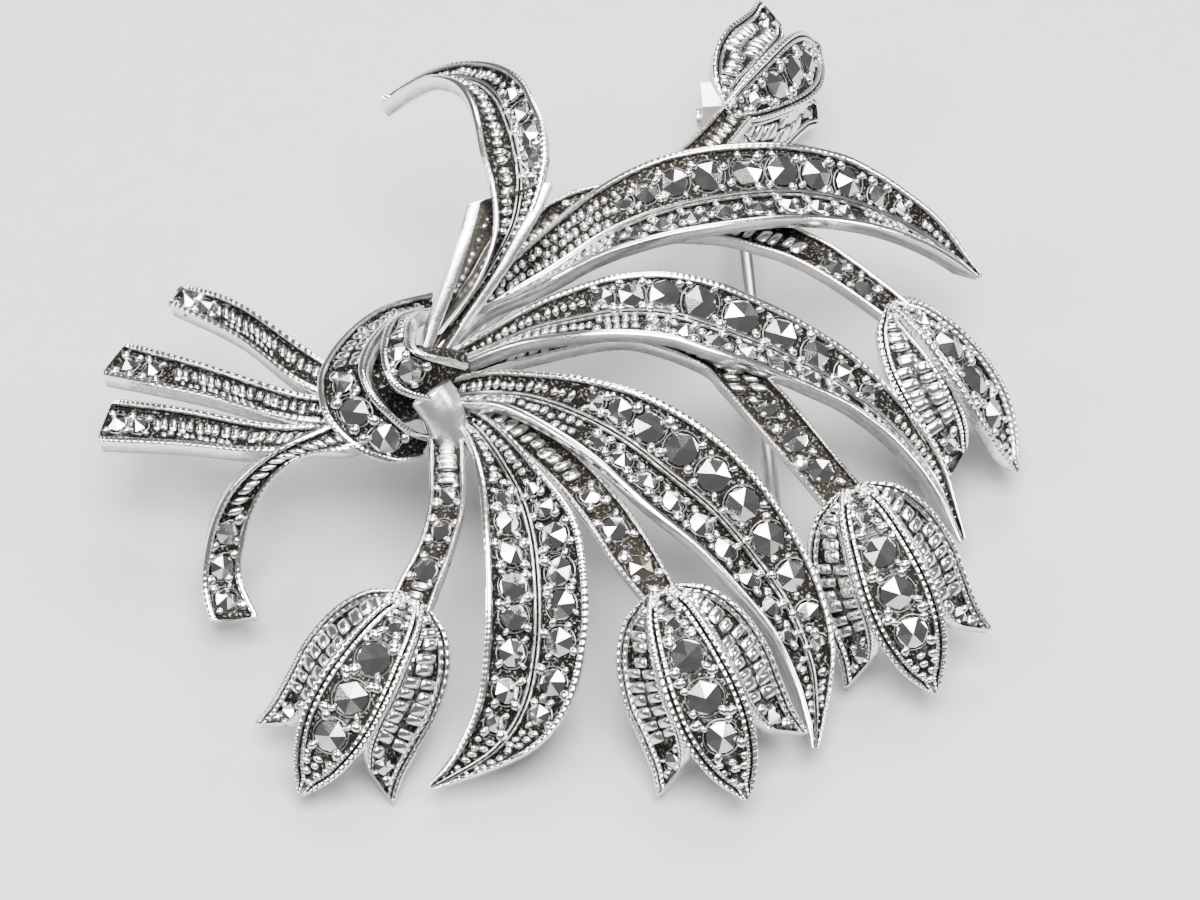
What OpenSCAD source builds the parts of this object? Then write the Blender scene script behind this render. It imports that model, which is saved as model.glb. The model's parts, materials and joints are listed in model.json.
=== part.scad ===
/* [Stones] */
// Diameter of the largest stone
stone_max_d = 2.1; // [1.6:0.05:2.1]
// Diameter of the smallest stone that is still set
stone_min_d = 1.0; // [0.8:0.05:1.2]
// Clear metal between neighbouring stones in a row
stone_gap = 0.45; // [0.4:0.05:0.7]
// Height of a stone from its girdle to its point
stone_crown = 0.55; // [0.4:0.05:0.7]

/* [Castings] */
// Thickness of the cast floor of leaves and stems
wall = 0.55; // [0.5:0.05:0.7]
// Width of the polished rim along every edge
rim_w = 0.45; // [0.35:0.05:0.5]
// Depth of the floor below the rim
rim_lip = 0.45; // [0.35:0.05:0.55]
// Leaf valley depth as a share of the leaf width
leaf_dip = 0.16; // [0.1:0.01:0.2]

/* [Pin and catch] */
// Radius of the pin wire
pin_r = 0.5; // [0.45:0.01:0.5]
// Distance from the hinge to the middle of the catch
pin_reach = 40.6; // [40.4:0.1:40.8]
// Running clearance of the knuckle and of the safety lever
play = 0.06; // [0.04:0.01:0.08]

/* [Hidden] */
seat = [0.4, -1.7, 0.65]; // puts the middle of the brooch over the origin, resting at zero
silver = "silver";
stone_tint = "dimgray";
nudge = 0.02;          // step along a strip that gives its direction
rib_w = 0.22;          // half width of the ridge down the middle of a leaf
rib_h = 0.3;           // height of that ridge
stone_seat = 0.25;     // depth of a stone's girdle in the metal
stone_band = 0.12;     // height that the girdle stands above the metal
stone_clear = 0.05;    // least space between a stone and a rim or a ridge
end_stones = 0.42;     // share that the stones lose at the ends of a row
fade_at = 4;           // a strip narrower than this many rims gets thinner
cut_over = 1;          // length that a cut runs past what it cuts
stone_fn = 24;
round_fn = 48;

// ---- strips: every leaf, petal, stem and ribbon is a cast channel between two edge curves ----

function unit(v) = v / norm(v);

// Smooth curve through the points p, with t from 0 at the first to 1 at the last
function spline(p, t) =
    let (n = len(p) - 1, s = max(0, min(t, 1)) * n, i = min(floor(s), n - 1), f = s - i,
         a = p[max(i - 1, 0)], b = p[i], c = p[i + 1], d = p[min(i + 2, n)])
    0.5 * (2 * b + (c - a) * f + (2 * a - 5 * b + 4 * c - d) * f * f + (3 * b - a - 3 * c + d) * f * f * f);

// Right edge point, direction across, direction up, width and direction along, at t
function station(right, left, t) =
    let (p = spline(right, t), q = spline(left, t), w = norm(q - p), across = (q - p) / w,
         go = unit(spline(right, t + nudge) + spline(left, t + nudge)
                 - spline(right, t - nudge) - spline(left, t - nudge)),
         up = unit(cross(go, across)))
    [p, across, up, w, go];

// Everything gets thinner where a strip narrows to a point
function fade(w) = min(1, w / (fade_at * rim_w));

// Leaf section: raised rims, a floor dipping to a ridge in the middle, wall beneath.
// The triangles that close its end are listed with it, and so are the channel's.
function leaf_section(w, dip, skirt) =
    let (k = fade(w), r = rim_w * k, l = rim_lip * k, d = l + dip * w, b = rib_w * k, m = w / 2)
    [[0, -skirt * k], [m, -d - wall * k], [w, -skirt * k], [w, 0], [w - r, 0], [w - r, -l],
     [m + b, -d], [m, -d + rib_h * k], [m - b, -d], [r, -l], [r, 0], [0, 0]];

leaf_end = [[2, 3, 4], [2, 4, 5], [2, 5, 6], [1, 2, 6], [1, 6, 7], [1, 7, 8], [0, 1, 8], [0, 8, 9],
            [0, 9, 10], [0, 10, 11]];

// Channel section: raised rims and a flat floor
function channel_section(w, skirt, rim) =
    let (k = fade(w), r = rim * k, l = rim_lip * k)
    [[0, -skirt * k], [w, -skirt * k], [w, 0], [w - r, 0], [w - r, -l], [r, -l], [r, 0], [0, 0]];

channel_end = [[1, 2, 3], [1, 3, 4], [0, 1, 4], [0, 4, 5], [0, 5, 6], [0, 6, 7]];

module strip(right, left, dip, skirt, rings, rim = rim_w) {
    ring_points = [for (j = [0:rings])
        let (s = station(right, left, j / rings),
             section = dip > 0 ? leaf_section(s[3], dip, skirt) : channel_section(s[3], skirt, rim))
        [for (q = section) s[0] + s[1] * q[0] + s[2] * q[1]]];
    m = len(ring_points[0]);
    points = [for (ring = ring_points) each ring];
    sides = [for (j = [0:rings - 1], i = [0:m - 1])
        let (a = j * m + i, b = j * m + (i + 1) % m)
        each [[a, a + m, b + m], [a, b + m, b]]];
    first_end = dip > 0 ? leaf_end : channel_end;
    last_end = [for (f = first_end) [for (i = [2, 1, 0]) rings * m + f[i]]];
    polyhedron(points = points, faces = concat(first_end, sides, last_end), convexity = 6);
}

// ---- rose-cut stones, packed along the floor of a strip ----

module stone(d) {
    rotate_extrude($fn = stone_fn)
        polygon([[0, -stone_seat], [d / 2, -stone_seat], [d / 2, stone_band], [0, stone_crown]]);
}

// Widest stone that a leaf's floor holds on one side of its ridge
function stone_d(w) = min(stone_max_d, w / 2 - rim_w - rib_w - stone_clear);

// Stones are smaller at both ends of a row; u runs from 0 to 1 along it
function grade(u) = 1 - end_stones * pow(abs(2 * u - 1), 3);

// Line that a row follows
function row_at(right, left, side, t) =
    let (f = 0.5 + side / 4) spline(right, t) * (1 - f) + spline(left, t) * f;

// Place and width of each stone from t on; reach scales the widths and gap is what lies between
function stone_row(right, left, side, t, t_start, t_end, reach, gap) =
    t > t_end ? [] :
    let (s = station(right, left, t), d = stone_d(s[3]) * reach * grade((t - t_start) / (t_end - t_start)),
         along = norm(row_at(right, left, side, t + nudge) - row_at(right, left, side, t - nudge))
                 / (2 * nudge),
         step = (max(d, stone_min_d) + gap) / along)
    concat(d >= stone_min_d ? [[t, d]] : [],
           stone_row(right, left, side, t + step, t_start, t_end, reach, gap));

// items lists the place and width of each stone. side is -1 for the row along the right edge,
// 1 for the left edge and 0 for the middle of a channel.
module stones_at(right, left, items, dip = 0, side = 0) {
    for (item = items) {
        s = station(right, left, item[0]);
        w = s[3];
        k = fade(w);
        low = rim_lip * k + dip * w;
        half_floor = (rim_w * k + w / 2 - rib_w * k) / 2;
        x = side == 0 ? w / 2 : side < 0 ? half_floor : w - half_floor;
        z = side == 0 ? -rim_lip * k : -(rim_lip * k + low) / 2;
        lean = side == 0 ? 0 : atan(dip * w / (w / 2 - rim_w * k - rib_w * k)) * side;
        across = s[1] * cos(lean) + s[2] * sin(lean);
        up = s[2] * cos(lean) - s[1] * sin(lean);
        along = cross(across, up);
        o = s[0] + s[1] * x + s[2] * z;
        multmatrix([[across[0], along[0], up[0], o[0]],
                    [across[1], along[1], up[1], o[1]],
                    [across[2], along[2], up[2], o[2]]])
            mirror([0, 1, 0]) stone(item[1]);
    }
}

module stones_in(right, left, dip, side, t_start, t_end, reach = 1, gap = stone_gap) {
    stones_at(right, left, stone_row(right, left, side, t_start, t_start, t_end, reach, gap), dip, side);
}

// ---- knot: the stems are gathered on a turned core that the ribbon hides ----

core_from = [-15.5, -4.6, 8.6];
core_to = [-6.4, -2.1, 9];
core_r = 2.4;
core_end_r = 1.3;
core_shoulder = 0.35;  // share of the core's length that tapers at each end

module knot_core() {
    run = core_to - core_from;
    color(silver) translate(core_from)
        rotate([0, acos(run[2] / norm(run)), atan2(run[1], run[0])])
        rotate_extrude($fn = round_fn)
            polygon([[0, 0], [core_end_r, 0], [core_r, norm(run) * core_shoulder],
                     [core_r, norm(run) * (1 - core_shoulder)], [core_end_r, norm(run)], [0, norm(run)]]);
}

// ---- leaves: right and left edges as seen looking from the knot to the tip ----

curled_right = [[-6.6, 0.2, 10.8], [-4.4, 2.7, 12.8], [-2.4, 5.4, 15], [-1.5, 8.3, 16.8], [-1.6, 10.8, 17.8],
                [-2.2, 12.9, 18], [-3, 15.1, 17.8], [-4.6, 17.2, 17.2], [-7.1, 19.2, 15.6],
                [-9.5, 20.6, 13.4],
                [-11.8, 20.9, 11.3]];
curled_left = [[-8.3, -0.8, 10.8], [-6, 1.7, 12.7], [-4.9, 4.3, 14.5], [-5.1, 7.1, 15.7], [-5.8, 9.8, 16.6],
               [-6.2, 11.9, 17.2], [-6.7, 13.9, 17.2], [-7.6, 15.8, 16.8], [-9.3, 17.8, 15.4],
               [-11.1, 18.8, 13.4],
               [-12.9, 19.3, 11.2]];
sheath_right = [[-7.5, -1.4, 9.6], [-5.5, 1, 11.3], [-3.6, 3.1, 13.2], [-2.1, 5.3, 14.9], [-1, 7.7, 16]];
sheath_left = [[-9.8, -3, 9.6], [-8.9, -0.6, 11.2], [-7.9, 1.6, 13], [-7.1, 3.8, 14.5], [-6.5, 6.1, 15.5]];
top_right = [[-9, -1.5, 9.4], [-6.2, 1.3, 10.4], [-2.3, 2.1, 12], [1.7, 3.8, 13.1], [5.6, 5, 13.6],
             [9.5, 6, 13.6],
             [14, 7.2, 13], [18, 8.2, 11.6], [21.4, 8.9, 9.8], [24.5, 9.2, 7.6], [27, 9, 5.4]];
top_left = [[-8, 0.4, 9.4], [-4.7, 5.2, 10], [-1.8, 8, 11.2], [1.8, 10.4, 12.8], [5.5, 12, 13.8],
            [9.5, 12.8, 14.2],
            [14, 13.5, 13.7], [18, 13.9, 12.2], [21.5, 13.5, 10], [24.7, 12.3, 7.6], [27.3, 9.5, 5.3]];
middle_right = [[-10, -3.5, 9.2], [-6.1, -2.5, 10.4], [-3.2, -2.4, 11.7], [0, -2.6, 12.6], [3, -2.7, 13],
                [6.2, -2.9, 12.8], [9, -3.5, 12.2], [12, -3.9, 11.2], [15, -4.3, 9.8], [18, -4.8, 8.2],
                [21, -6.2, 6.2], [23.2, -8.2, 4.2], [24.7, -10.9, 2.4]];
middle_left = [[-9.4, -1.9, 9.2], [-5.5, -0.2, 10.6], [-2.6, 0.6, 12.2], [0.5, 1.4, 13.2], [3.1, 1.8, 13.8],
               [6.2, 2, 13.8], [9.3, 1.8, 13.1], [12.4, 1.2, 11.9], [15.6, 0.4, 10.3], [18.8, -0.9, 8.4],
               [21.8, -3, 6.2], [24, -5.8, 4.2], [25.1, -10.5, 2.5]];
lower_right = [[-10.5, -5, 9], [-7.2, -6, 10.2], [-4.4, -7, 11.1], [-1.3, -9.3, 11.5], [1.8, -11.8, 11.2],
               [4.8, -14.4, 10.2], [7.9, -16.4, 8.7], [10.3, -18.3, 7], [12.5, -20.3, 5], [13.8, -22.6, 3.3],
               [14.4, -24.4, 2.3], [14.8, -26, 1.5]];
lower_left = [[-9.9, -3.8, 9.2], [-5.4, -3.5, 10.6], [-2, -4.8, 12], [1.5, -6, 12.7], [5, -7.1, 12.4],
              [8.2, -8.6, 11.4], [11, -10.6, 10], [13.3, -13, 8.2], [15.2, -16, 6.2], [16.3, -19.5, 4.2],
              [16.1, -22.6, 2.7], [15.2, -26, 1.5]];
front_right = [[-9, -4.6, 9], [-6.9, -7.5, 9.9], [-5.7, -11.4, 10.2], [-5.2, -15.7, 9.4], [-5, -19.7, 7.7],
               [-5.1, -22.1, 6], [-5.5, -24.4, 4.2], [-6.6, -26.5, 2.6], [-8.4, -28.6, 1.3]];
front_left = [[-7.6, -4, 9], [-4.4, -7.4, 10.1], [-1.6, -11.9, 10.8], [0.5, -15, 10], [1.2, -18.8, 8.4],
              [1.1, -22, 6.4], [0, -25.2, 4.3], [-2.5, -27.3, 2.7], [-8.1, -28.9, 1.2]];
leaf_skirt = 1.05;     // height of a leaf's outer side wall
sheath_dip = 0.34;
curled_dip = 0.14;
small_gap = 0.7;       // wider gap in a leaf's row of small stones, for the beads between them

module leaf_curled() { color(silver) strip(curled_right, curled_left, curled_dip, leaf_skirt, 22); }
module leaf_sheath() { color(silver) strip(sheath_right, sheath_left, sheath_dip, leaf_skirt, 10); }
module leaf_top() { color(silver) strip(top_right, top_left, leaf_dip, leaf_skirt, 22); }
module leaf_middle() { color(silver) strip(middle_right, middle_left, leaf_dip, leaf_skirt, 24); }
module leaf_lower() { color(silver) strip(lower_right, lower_left, leaf_dip, leaf_skirt, 24); }
module leaf_front() { color(silver) strip(front_right, front_left, leaf_dip, leaf_skirt, 20); }

module stones_leaf_curled() {
    color(stone_tint) stones_in(curled_right, curled_left, curled_dip, -1, 0.25, 0.66, 1.12);
}
module stones_leaf_top() {
    color(stone_tint) {
        stones_in(top_right, top_left, leaf_dip, 1, 0.34, 0.85);
        stones_in(top_right, top_left, leaf_dip, -1, 0.32, 0.74, 0.72, small_gap);
    }
}
module stones_leaf_middle() {
    color(stone_tint) {
        stones_in(middle_right, middle_left, leaf_dip, 1, 0.26, 0.86, 1.2);
        stones_in(middle_right, middle_left, leaf_dip, -1, 0.36, 0.84, 0.8, small_gap);
    }
}
module stones_leaf_lower() {
    color(stone_tint) {
        stones_in(lower_right, lower_left, leaf_dip, 1, 0.26, 0.88, 1.05);
        stones_in(lower_right, lower_left, leaf_dip, -1, 0.3, 0.8, 0.75, small_gap);
    }
}
module stones_leaf_front() {
    color(stone_tint) {
        stones_in(front_right, front_left, leaf_dip, 1, 0.24, 0.86, 0.9, 0.5);
        stones_in(front_right, front_left, leaf_dip, -1, 0.26, 0.86, 0.85, 0.5);
    }
}

// ---- flower stems: narrow channels from the knot to each tulip ----

back_right = [[-8.4, -3, 8.8], [-5.6, 3.4, 8.9], [-1.4, 9, 9], [1.6, 11.6, 9], [6.4, 13.4, 8.9],
              [9.6, 16.6, 8.9], [12.2, 21, 8.5]];
back_left = [[-9.8, -2.2, 8.8], [-7.4, 4.6, 8.9], [-3.2, 10.7, 9], [-0.2, 13.6, 9], [4.6, 15.3, 8.9],
             [7.6, 18.2, 8.9], [10.6, 22.8, 8.5]];
right_right = [[-8.2, -2.8, 9], [-4, 3, 9.4], [1, 6.6, 9.6], [5, 8.6, 9.8], [9.1, 8.2, 10.4],
               [12.2, 7.2, 10.4],
               [14.7, 6.2, 10.2], [17.3, 4.7, 9.6], [20.6, 2.6, 8.4]];
right_left = [[-9.4, -1.8, 9], [-5.4, 4.4, 9.4], [0, 8.6, 9.6], [4.4, 10.9, 9.8], [10.3, 10.2, 10.5],
              [13.8, 9.4, 10.6],
              [16.6, 8.1, 10.2], [18.9, 6.5, 9.6], [22, 4.3, 8.4]];
lower_stem_right = [[-7.6, -3.4, 9.2], [-2, -0.9, 8.9], [3.4, 0.2, 9.2], [7.9, -2.3, 10], [9.5, -4.4, 10.2],
                    [11.2, -6.9, 10], [13, -9.2, 9.4], [15.7, -12.4, 8.2]];
lower_stem_left = [[-7.6, -1.6, 9.2], [-1.6, 1.2, 8.9], [5, 2.2, 9.2], [10.9, -1.8, 10.2], [13.1, -4.4, 10.2],
                   [15, -7.2, 9.9], [16.9, -9.8, 9.2], [18.6, -11.7, 8.3]];
front_stem_right = [[-9, -5, 9], [-5.7, -6.5, 9.3], [-3.1, -9.3, 9.8], [-0.7, -12.4, 10], [1.2, -15.2, 9.7],
                    [2.7, -17.5, 8.9], [4.6, -19.8, 8]];
front_stem_left = [[-7.8, -3.8, 9], [-4.3, -5.2, 9.5], [-1, -8.1, 10], [1.6, -11.2, 10.2], [3.7, -14.1, 9.9],
                   [5.4, -16.8, 9.1], [6.9, -19.4, 8]];
left_stem_right = [[-9.6, -4.8, 9], [-8.8, -7.7, 9.4], [-8.6, -10.7, 9.6], [-8.6, -13.2, 9.2],
                   [-9.2, -15.7, 8.4],
                   [-10.2, -17.6, 7.6], [-10.9, -19, 6.9]];
left_stem_left = [[-7.8, -4.6, 9], [-6.6, -7.7, 9.4], [-6.4, -10.7, 9.7], [-6.4, -13.4, 9.3], [-7, -16, 8.5],
                  [-7.8, -18.3, 7.7], [-8.4, -19.8, 6.9]];
stem_skirt = 1;
stem_rim = 0.3;        // the stems have narrower rims than the leaves

module stem_back() { color(silver) strip(back_right, back_left, 0, stem_skirt, 14, stem_rim); }
module stem_right() { color(silver) strip(right_right, right_left, 0, stem_skirt, 14, stem_rim); }
module stem_lower_right() {
    color(silver) strip(lower_stem_right, lower_stem_left, 0, stem_skirt, 14, stem_rim);
}
module stem_front() { color(silver) strip(front_stem_right, front_stem_left, 0, stem_skirt, 12, stem_rim); }
module stem_left() { color(silver) strip(left_stem_right, left_stem_left, 0, stem_skirt, 12, stem_rim); }

module stones_stem_back() { color(stone_tint) stones_at(back_right, back_left, [[0.5, 1.4]]); }
module stones_stem_right() {
    color(stone_tint) stones_at(right_right, right_left, [[0.828, 1.4], [0.912, 1.4]]);
}
module stones_stem_lower_right() {
    color(stone_tint) stones_at(lower_stem_right, lower_stem_left, [[0.66, 1.3], [0.79, 1.7], [0.9, 1.7]]);
}
module stones_stem_front() {
    color(stone_tint) stones_at(front_stem_right, front_stem_left, [[0.57, 1.4], [0.71, 1.6], [0.87, 1.6]]);
}
module stones_stem_left() {
    color(stone_tint) stones_at(left_stem_right, left_stem_left, [[0.45, 1.2], [0.597, 1.4], [0.772, 1.6]]);
}

// ---- tulips: one casting used five times, a pointed middle petal between two side petals ----

petal_right = [[-0.7, -0.8, -0.2], [0.9, -1.5, 0.9], [3.4, -2, 1.6], [6.2, -2.3, 1.8], [8.8, -2.2, 1.5],
               [11.2, -1.5, 0.8], [13, -0.3, 0.1]];
petal_side = [[-0.7, 0.8, -0.2], [0.1, 2.8, -0.5], [2.2, 4.2, -0.8], [4.8, 4.8, -1], [7.2, 4.8, -1.2],
              [9.2, 4.8, -1.4], [10.8, 5.1, -1.5]];
petal_inner = [[-0.6, 0.3, 0], [1.2, 1.3, 0.7], [3.4, 1.8, 1.3], [5.6, 2.1, 1.4], [7.4, 2.1, 1],
               [8.6, 2.3, 0.6], [9.6, 2.8, 0.1]];
petal_skirt = 0.9;
petal_stones = [[0.2, 1.05], [0.355, 2.1], [0.52, 2.15], [0.69, 2]];
side_stone = [[0.86, 1.15]];

function mirrored(p) = [for (q = p) [q[0], -q[1], q[2]]];

// turn rolls the flower about its own length, toward its left petal
module at_tulip(base, tip, turn) {
    along = unit(tip - base);
    level = unit(cross([0, 0, 1], along));
    upright = cross(along, level);
    across = level * cos(turn) - upright * sin(turn);
    up = upright * cos(turn) + level * sin(turn);
    multmatrix([[along[0], across[0], up[0], base[0]],
                [along[1], across[1], up[1], base[1]],
                [along[2], across[2], up[2], base[2]]])
        children();
}

module tulip() {
    strip(petal_right, mirrored(petal_right), 0, petal_skirt, 14);
    strip(petal_inner, petal_side, 0, petal_skirt, 12);
    strip(mirrored(petal_side), mirrored(petal_inner), 0, petal_skirt, 12);
}

module tulip_stones() {
    stones_at(petal_right, mirrored(petal_right), petal_stones);
    stones_at(petal_inner, petal_side, side_stone);
    stones_at(mirrored(petal_side), mirrored(petal_inner), side_stone);
}

back_base = [11.2, 21.9, 8.4];
back_tip = [16.9, 31.6, 4.6];
back_turn = -50;
right_base = [21.4, 3.8, 8.4];
right_tip = [29, -4.4, 1.4];
right_turn = 24;
lower_base = [17.7, -12, 8.4];
lower_tip = [22.4, -21.9, 1.7];
lower_turn = -14;
front_base = [5.8, -19.6, 7.9];
front_tip = [10.9, -30.1, 1.4];
front_turn = -17;
left_base = [-9.7, -19.4, 6.9];
left_tip = [-15.2, -27.6, 1.6];
left_turn = 12;

module tulip_back() { color(silver) at_tulip(back_base, back_tip, back_turn) tulip(); }
module tulip_right() { color(silver) at_tulip(right_base, right_tip, right_turn) tulip(); }
module tulip_lower_right() { color(silver) at_tulip(lower_base, lower_tip, lower_turn) tulip(); }
module tulip_front() { color(silver) at_tulip(front_base, front_tip, front_turn) tulip(); }
module tulip_left() { color(silver) at_tulip(left_base, left_tip, left_turn) tulip(); }

module stones_tulip_back() { color(stone_tint) at_tulip(back_base, back_tip, back_turn) tulip_stones(); }
module stones_tulip_right() { color(stone_tint) at_tulip(right_base, right_tip, right_turn) tulip_stones(); }
module stones_tulip_lower_right() {
    color(stone_tint) at_tulip(lower_base, lower_tip, lower_turn) tulip_stones();
}
module stones_tulip_front() { color(stone_tint) at_tulip(front_base, front_tip, front_turn) tulip_stones(); }
module stones_tulip_left() { color(stone_tint) at_tulip(left_base, left_tip, left_turn) tulip_stones(); }

// ---- cut stem ends, flaring toward their open tips ----

cut_upper_right = [[-13, -2.6, 8.6], [-16.2, -0.9, 9.4], [-21.4, 4, 8.8], [-24.9, 6.2, 8.1]];
cut_upper_left = [[-13.2, -4.8, 8.6], [-17, -3.6, 9.4], [-21.4, 0.9, 8.8], [-26, 4.4, 8.1]];
cut_middle_right = [[-12, -3.4, 8.4], [-16.6, -4, 9], [-23.6, -0.8, 8.4], [-28.4, 1.6, 7.6]];
cut_middle_left = [[-12, -5.8, 8.4], [-17, -6.3, 9], [-23.5, -3.7, 8.4], [-29.9, -1.3, 7.6]];
cut_lower_right = [[-12.4, -5, 8.2], [-17.6, -6.2, 8.6], [-24.6, -4.1, 7.8], [-29, -2.6, 6.9]];
cut_lower_left = [[-12.6, -7.2, 8.2], [-18.6, -8.5, 8.6], [-24.5, -7.3, 7.8], [-29.8, -6.2, 6.9]];
cut_skirt = 1.2;

module cut_stem_upper() { color(silver) strip(cut_upper_right, cut_upper_left, 0, cut_skirt, 8); }
module cut_stem_middle() { color(silver) strip(cut_middle_right, cut_middle_left, 0, cut_skirt, 8); }
module cut_stem_lower() { color(silver) strip(cut_lower_right, cut_lower_left, 0, cut_skirt, 8); }

cut_stones = [[0.83, 1.25], [0.93, 1.35]];

module stones_cut_upper() { color(stone_tint) stones_at(cut_upper_right, cut_upper_left, cut_stones); }
module stones_cut_middle() { color(stone_tint) stones_at(cut_middle_right, cut_middle_left, cut_stones); }
module stones_cut_lower() { color(stone_tint) stones_at(cut_lower_right, cut_lower_left, cut_stones); }

// ---- ribbon: two bands over the knot, a fold where they cross and one hanging tail ----

tail_right = [[-13.6, -7, 10.4], [-15.3, -8.1, 10.6], [-18.1, -9.4, 9.9], [-20.5, -10.8, 8.4],
              [-21.9, -12, 6.6],
              [-22.6, -13.4, 4.8], [-22.8, -15.2, 3.2], [-22.3, -16.9, 2.2]];
tail_left = [[-12.2, -9, 10], [-13.8, -9.9, 10.4], [-16.2, -10, 9.8], [-18.1, -10.5, 8.3],
             [-19.4, -11.5, 6.5],
             [-20.1, -12.8, 4.8], [-20.3, -14.4, 3.3], [-19.2, -16.6, 2.2]];
band_lower_right = [[-9, 5.4, 8.2], [-12.2, 2.4, 10], [-14.6, -1.2, 10.9], [-15.7, -4.6, 11.2],
                    [-15.2, -7.7, 11],
                    [-13.4, -9.6, 10.2], [-11, -9.9, 9], [-9, -8.6, 7.8]];
band_lower_left = [[-8.2, 3.6, 8.4], [-10.9, 0.6, 11], [-12.2, -2.6, 12.6], [-12.7, -5.4, 13],
                   [-12, -7.2, 12.6],
                   [-10.9, -7.9, 11.6], [-9.6, -8, 10], [-8.3, -7.2, 8.4]];
band_upper_right = [[-9.6, 3.6, 8.8], [-11.2, -0.5, 12.2], [-11.7, -3.8, 13.4], [-11.4, -6.3, 13.7],
                    [-10.4, -7.5, 13], [-8.8, -7.2, 11.8], [-7.3, -5.9, 10.6]];
band_upper_left = [[-8.6, 2.9, 9], [-9.6, -0.8, 12.8], [-9.8, -3.6, 14], [-9.4, -5, 14.4], [-8.4, -5.3, 14],
                   [-7.2, -4.8, 12.9], [-6.2, -4, 11.6]];
fold_right = [[-9.4, -7.4, 12], [-8.4, -8.3, 10.8], [-7.6, -9.1, 9.2], [-6.8, -9.6, 8]];
fold_left = [[-7.2, -5.4, 12.2], [-6.4, -6.3, 11.2], [-5.9, -7.3, 9.8], [-5.6, -8.2, 8.4]];
ribbon_skirt = 1.1;

module ribbon_tail() { color(silver) strip(tail_right, tail_left, 0, ribbon_skirt, 14); }
module ribbon_band_lower() { color(silver) strip(band_lower_right, band_lower_left, 0, ribbon_skirt, 14); }
module ribbon_band_upper() { color(silver) strip(band_upper_right, band_upper_left, 0, ribbon_skirt, 12); }
module ribbon_fold() { color(silver) strip(fold_right, fold_left, 0, ribbon_skirt, 6); }

module stones_tail() {
    color(stone_tint) stones_at(tail_right, tail_left, [[0.668, 1.5], [0.796, 1.55], [0.91, 1.5]]);
}
module stones_band_lower() {
    color(stone_tint) stones_at(band_lower_right, band_lower_left, [[0.47, 1.5], [0.607, 1.9], [0.786, 2]]);
}
module stones_band_upper() {
    color(stone_tint) stones_at(band_upper_right, band_upper_left, [[0.41, 1.5], [0.63, 1.6]]);
}

// ---- pin, hinge and roll-over catch on the back, laid out along the pin ----

hinge_at = [11.1, 26.4, 3.2];
pin_turn = 3;          // the pin lies three degrees off the row axis
knuckle_r = 1.2;
knuckle_w = 2;
rivet_r = 0.4;
rivet_head = [0.7, 0.35];  // radius and thickness of each head
ear_w = 1;
ear_gap = 0.15;        // space between the knuckle and each ear
ear_r = 1.2;
bracket_w = knuckle_w + 2 * (ear_gap + ear_w);
plate_t = 0.7;
plate_z = 1.6;         // underside of the bracket's plate above the hinge axis
post = [2, 3.6, 2.6];  // block on the plate that is soldered to the flower above it
post_x = 0.2;          // its near side, from the middle of the bracket
pin_straight = 36;     // length of the plain wire
pin_tip_r = 0.15;
pin_point = 8;         // length of the tapered point

module at_hinge() { translate(hinge_at) rotate([0, 0, pin_turn]) children(); }

module across_x(r, length) { rotate([0, 90, 0]) cylinder(r = r, h = length, center = true, $fn = round_fn); }

module hinge_bracket() {
    ear_x = knuckle_w / 2 + ear_gap + ear_w / 2;
    color(silver) at_hinge() difference() {
        union() {
            for (side = [-1, 1]) translate([side * ear_x, 0, 0]) {
                across_x(ear_r, ear_w);
                translate([-ear_w / 2, -ear_r, 0]) cube([ear_w, 2 * ear_r, plate_z + plate_t]);
            }
            translate([-bracket_w / 2, -ear_r, plate_z]) cube([bracket_w, 2 * ear_r, plate_t]);
            translate([post_x, -post[1], plate_z]) cube(post);
        }
        across_x(rivet_r, bracket_w + cut_over);
    }
}

module hinge_rivet() {
    color(silver) at_hinge() {
        across_x(rivet_r, bracket_w + 2 * rivet_head[1]);
        for (side = [-1, 1]) translate([side * (bracket_w + rivet_head[1]) / 2, 0, 0])
            across_x(rivet_head[0], rivet_head[1]);
    }
}

module pin_stem() {
    color(silver) at_hinge() difference() {
        union() {
            across_x(knuckle_r, knuckle_w);
            rotate([90, 0, 0]) cylinder(r = pin_r, h = pin_straight, $fn = round_fn);
            translate([0, -pin_straight, 0]) rotate([90, 0, 0])
                cylinder(r1 = pin_r, r2 = pin_tip_r, h = pin_point, $fn = round_fn);
        }
        across_x(rivet_r + play, knuckle_w + cut_over);
    }
}

lever_bore_r = 0.55;
lever_r = 1;
catch_r = 1.6;
catch_slot = 1.3;      // mouth of the catch, facing down
lever_slot = 1.2;
cheek_w = 0.8;
tab_w = 1.2;
tab_gap = 0.15;
catch_w = tab_w + 2 * (tab_gap + cheek_w);
tab_r = 2.2;
tab_room = 0.4;        // space past the tab in its window
spine_at = 0.8;        // underside of the spine above the pin
spine_w = 1.8;         // metal left over the window that the tab swings in
foot = [2, 2.42];      // width of the catch's foot and its top above the pin
lever_from = 150;      // the lever's tab, in degrees around the pin
lever_to = 200;
lever_over = 0.25;     // length that the lever stands out at each end of the catch

module at_catch() { at_hinge() translate([0, -pin_reach, 0]) children(); }

module along_y(r, length) { rotate([90, 0, 0]) cylinder(r = r, h = length, center = true, $fn = round_fn); }

module catch_body() {
    color(silver) at_catch() difference() {
        union() {
            along_y(catch_r, catch_w);
            translate([-foot[0] / 2, -catch_w / 2, 0]) cube([foot[0], catch_w, foot[1]]);
        }
        along_y(lever_r + play, catch_w + cut_over);
        translate([-catch_slot / 2, -catch_w / 2 - cut_over, -catch_r - cut_over])
            cube([catch_slot, catch_w + 2 * cut_over, catch_r + cut_over]);
        // window that the lever's tab swings in
        difference() {
            along_y(tab_r + tab_room, tab_w + 2 * tab_gap);
            translate([-spine_w / 2, -catch_w / 2, spine_at]) cube([spine_w, catch_w, tab_r + cut_over]);
        }
    }
}

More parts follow.
